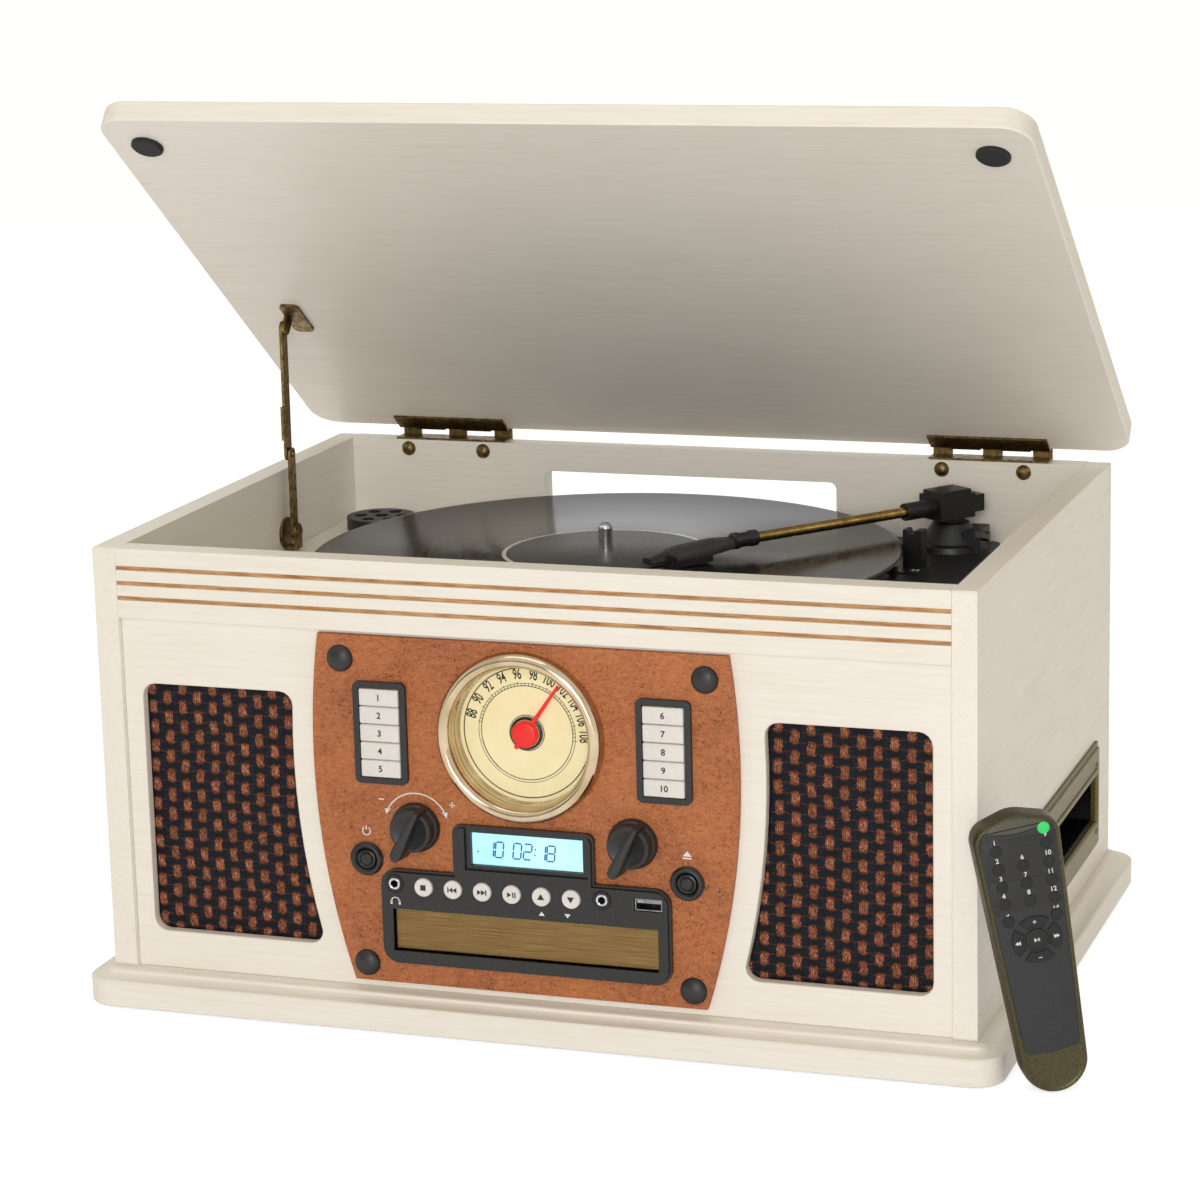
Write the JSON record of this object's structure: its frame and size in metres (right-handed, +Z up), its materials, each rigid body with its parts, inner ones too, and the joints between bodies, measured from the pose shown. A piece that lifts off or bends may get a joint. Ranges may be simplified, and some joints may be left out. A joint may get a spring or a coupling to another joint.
{
  "type": "stereo music centre",
  "caption": "Retro wooden music centre: lidded record deck with tonearm, dial tuner, disc tray, cassette slot, cloth-fronted speakers and a leaning handset.",
  "frame": {"origin": "centre of the bounding box in plan, on the floor under the rubber feet, lid open and handset leaning as in the picture", "axes": "+X to the right seen from the front, +Y to the back, +Z up"},
  "size_m": [0.4968, 0.3387, 0.4399],
  "materials": {
    "lacquer": "satin lacquered wood",
    "rubber": "matt",
    "black_plastic": "satin",
    "steel": "satin",
    "antique_brass": "aged",
    "bright_brass": "polished",
    "leather": "grained",
    "dial_card": "printed card",
    "clear": "clear",
    "gloss_black": "gloss",
    "lcd": "lit glass",
    "cloth": "woven",
    "bronze_plastic": "metallic",
    "board_green": "lacquered",
    "mat_rubber": "matt",
    "vinyl": "grooved",
    "red_plastic": "gloss",
    "tray_brass": "brushed",
    "key_plastic": "pearl"
  },
  "bodies": {
    "cabinet": {"base_board": "lacquer", "rubber_feet": "rubber", "left_side_panel": "lacquer", "right_side_panel": "lacquer", "back_panel": "lacquer", "front_frieze": "lacquer", "front_baffle": "lacquer", "motor_board": "lacquer", "deck_plate": "black_plastic", "spindle": "steel", "drive_motor": "steel", "cabinet_fittings": "antique_brass", "fascia_panel": "leather", "fascia_trim": "antique_brass", "dial_bezel": "bright_brass", "dial_face": "dial_card", "dial_lens": "clear", "cd_bezel": "gloss_black", "lcd_display": "lcd", "sockets": "steel", "speaker_cloths": "cloth", "speaker_drivers": "black_plastic", "cassette_plate": "bronze_plastic", "cassette_mechanism": "black_plastic", "circuit_board": "board_green", "adapter_45": "black_plastic"},
    "lid": {"lid_board": "lacquer", "lid_fittings": "antique_brass"},
    "stay_lower": {"stay_lower_link": "antique_brass"},
    "stay_upper": {"stay_upper_link": "antique_brass"},
    "platter": {"platter": "mat_rubber", "record": "vinyl"},
    "arm_turret": {"tonearm_turret": "black_plastic"},
    "arm": {"tonearm_housing": "black_plastic", "tone_arm": "bright_brass"},
    "cue_lever": {"cue_lever": "black_plastic"},
    "speed_switch": {"speed_switch": "black_plastic"},
    "pointer": {"dial_pointer": "red_plastic"},
    "tuning_knob": {"tuning_knob": "gloss_black"},
    "volume_knob": {"volume_knob": "gloss_black"},
    "tray": {"cd_tray": "tray_brass"},
    "power_button": {"power_button": "black_plastic"},
    "eject_button": {"eject_button": "black_plastic"},
    "key_left_1": {"key_left_1": "key_plastic"},
    "key_left_2": {"key_left_2": "key_plastic"},
    "key_left_3": {"key_left_3": "key_plastic"},
    "key_left_4": {"key_left_4": "key_plastic"},
    "key_left_5": {"key_left_5": "key_plastic"},
    "key_right_1": {"key_right_1": "key_plastic"},
    "key_right_2": {"key_right_2": "key_plastic"},
    "key_right_3": {"key_right_3": "key_plastic"},
    "key_right_4": {"key_right_4": "key_plastic"},
    "key_right_5": {"key_right_5": "key_plastic"},
    "transport_1": {"transport_1": "key_plastic"},
    "transport_2": {"transport_2": "key_plastic"},
    "transport_3": {"transport_3": "key_plastic"},
    "transport_4": {"transport_4": "key_plastic"},
    "transport_5": {"transport_5": "key_plastic"},
    "transport_6": {"transport_6": "key_plastic"},
    "handset": {"remote_control": "bronze_plastic"}
  },
  "joints": [
    {"name": "lid_hinge", "type": "hinge", "parent": "cabinet", "child": "lid", "pos_m": [-0.01817, 0.15985, 0.2425], "axis": [1, 0, 0], "range_deg": [0, 37]},
    {"name": "stay_lower_pivot", "type": "hinge", "parent": "cabinet", "child": "stay_lower", "pos_m": [-0.21767, 0.04765, 0.1983], "axis": [1, 0, 0], "range_deg": [-98.33, 1]},
    {"name": "stay_upper_pivot", "type": "hinge", "parent": "lid", "child": "stay_upper", "pos_m": [-0.21767, 0.04825, 0.3078], "axis": [1, 0, 0], "range_deg": [-1, 23.3]},
    {"name": "platter_turn", "type": "hinge", "parent": "cabinet", "child": "platter", "pos_m": [-0.03187, 0.01465, 0.2019], "axis": [0, 0, 1], "continuous": true},
    {"name": "tonearm_swing", "type": "hinge", "parent": "cabinet", "child": "arm_turret", "pos_m": [0.12133, 0.12415, 0.2121], "axis": [0, 0, 1], "range_deg": [0, 28]},
    {"name": "tonearm_lift", "type": "hinge", "parent": "arm_turret", "child": "arm", "pos_m": [0.12133, 0.12415, 0.2121], "axis": [-0.7955, 0.606, 0], "range_deg": [0, 5]},
    {"name": "cue_lever_turn", "type": "hinge", "parent": "cabinet", "child": "cue_lever", "pos_m": [0.13933, 0.11815, 0.1973], "axis": [1, 0, 0], "range_deg": [-20, 12]},
    {"name": "speed_switch_slide", "type": "slide", "parent": "cabinet", "child": "speed_switch", "axis": [1, 0, 0], "range_m": [0, 0.007]},
    {"name": "pointer_turn", "type": "hinge", "parent": "cabinet", "child": "pointer", "pos_m": [-0.01817, -0.14535, 0.1508], "axis": [0, 1, 0], "range_deg": [-150, 90]},
    {"name": "tuning_turn", "type": "hinge", "parent": "cabinet", "child": "tuning_knob", "pos_m": [0.03603, -0.15335, 0.1034], "axis": [0, 1, 0], "range_deg": [-450, 270]},
    {"name": "volume_turn", "type": "hinge", "parent": "cabinet", "child": "volume_knob", "pos_m": [-0.07237, -0.15335, 0.1034], "axis": [0, 1, 0], "range_deg": [-140, 140]},
    {"name": "tray_slide", "type": "slide", "parent": "cabinet", "child": "tray", "axis": [0, -1, 0], "range_m": [0, 0.128]},
    {"name": "power_press", "type": "slide", "parent": "cabinet", "child": "power_button", "axis": [0, 1, 0], "range_m": [0, 0.0022], "stiffness_N_per_m": 300},
    {"name": "eject_press", "type": "slide", "parent": "cabinet", "child": "eject_button", "axis": [0, 1, 0], "range_m": [0, 0.0022], "stiffness_N_per_m": 300},
    {"name": "key_left_1_press", "type": "slide", "parent": "cabinet", "child": "key_left_1", "axis": [0, 1, 0], "range_m": [0, 0.0015], "stiffness_N_per_m": 400},
    {"name": "key_left_2_press", "type": "slide", "parent": "cabinet", "child": "key_left_2", "axis": [0, 1, 0], "range_m": [0, 0.0015], "stiffness_N_per_m": 400},
    {"name": "key_left_3_press", "type": "slide", "parent": "cabinet", "child": "key_left_3", "axis": [0, 1, 0], "range_m": [0, 0.0015], "stiffness_N_per_m": 400},
    {"name": "key_left_4_press", "type": "slide", "parent": "cabinet", "child": "key_left_4", "axis": [0, 1, 0], "range_m": [0, 0.0015], "stiffness_N_per_m": 400},
    {"name": "key_left_5_press", "type": "slide", "parent": "cabinet", "child": "key_left_5", "axis": [0, 1, 0], "range_m": [0, 0.0015], "stiffness_N_per_m": 400},
    {"name": "key_right_1_press", "type": "slide", "parent": "cabinet", "child": "key_right_1", "axis": [0, 1, 0], "range_m": [0, 0.0015], "stiffness_N_per_m": 400},
    {"name": "key_right_2_press", "type": "slide", "parent": "cabinet", "child": "key_right_2", "axis": [0, 1, 0], "range_m": [0, 0.0015], "stiffness_N_per_m": 400},
    {"name": "key_right_3_press", "type": "slide", "parent": "cabinet", "child": "key_right_3", "axis": [0, 1, 0], "range_m": [0, 0.0015], "stiffness_N_per_m": 400},
    {"name": "key_right_4_press", "type": "slide", "parent": "cabinet", "child": "key_right_4", "axis": [0, 1, 0], "range_m": [0, 0.0015], "stiffness_N_per_m": 400},
    {"name": "key_right_5_press", "type": "slide", "parent": "cabinet", "child": "key_right_5", "axis": [0, 1, 0], "range_m": [0, 0.0015], "stiffness_N_per_m": 400},
    {"name": "transport_1_press", "type": "slide", "parent": "cabinet", "child": "transport_1", "axis": [0, 1, 0], "range_m": [0, 0.0012], "stiffness_N_per_m": 400},
    {"name": "transport_2_press", "type": "slide", "parent": "cabinet", "child": "transport_2", "axis": [0, 1, 0], "range_m": [0, 0.0012], "stiffness_N_per_m": 400},
    {"name": "transport_3_press", "type": "slide", "parent": "cabinet", "child": "transport_3", "axis": [0, 1, 0], "range_m": [0, 0.0012], "stiffness_N_per_m": 400},
    {"name": "transport_4_press", "type": "slide", "parent": "cabinet", "child": "transport_4", "axis": [0, 1, 0], "range_m": [0, 0.0012], "stiffness_N_per_m": 400},
    {"name": "transport_5_press", "type": "slide", "parent": "cabinet", "child": "transport_5", "axis": [0, 1, 0], "range_m": [0, 0.0012], "stiffness_N_per_m": 400},
    {"name": "transport_6_press", "type": "slide", "parent": "cabinet", "child": "transport_6", "axis": [0, 1, 0], "range_m": [0, 0.0012], "stiffness_N_per_m": 400},
    {"name": "handset_lift_away", "type": "slide", "parent": "cabinet", "child": "handset", "axis": [1, 0, 0], "range_m": [0, 0.12]}
  ],
  "couplings": [
    {"joint": "stay_lower_pivot", "follows": "lid_hinge", "ratio": -2.6307},
    {"joint": "stay_upper_pivot", "follows": "lid_hinge", "ratio": 0.6027},
    {"joint": "pointer_turn", "follows": "tuning_turn", "ratio": 0.33333}
  ]
}
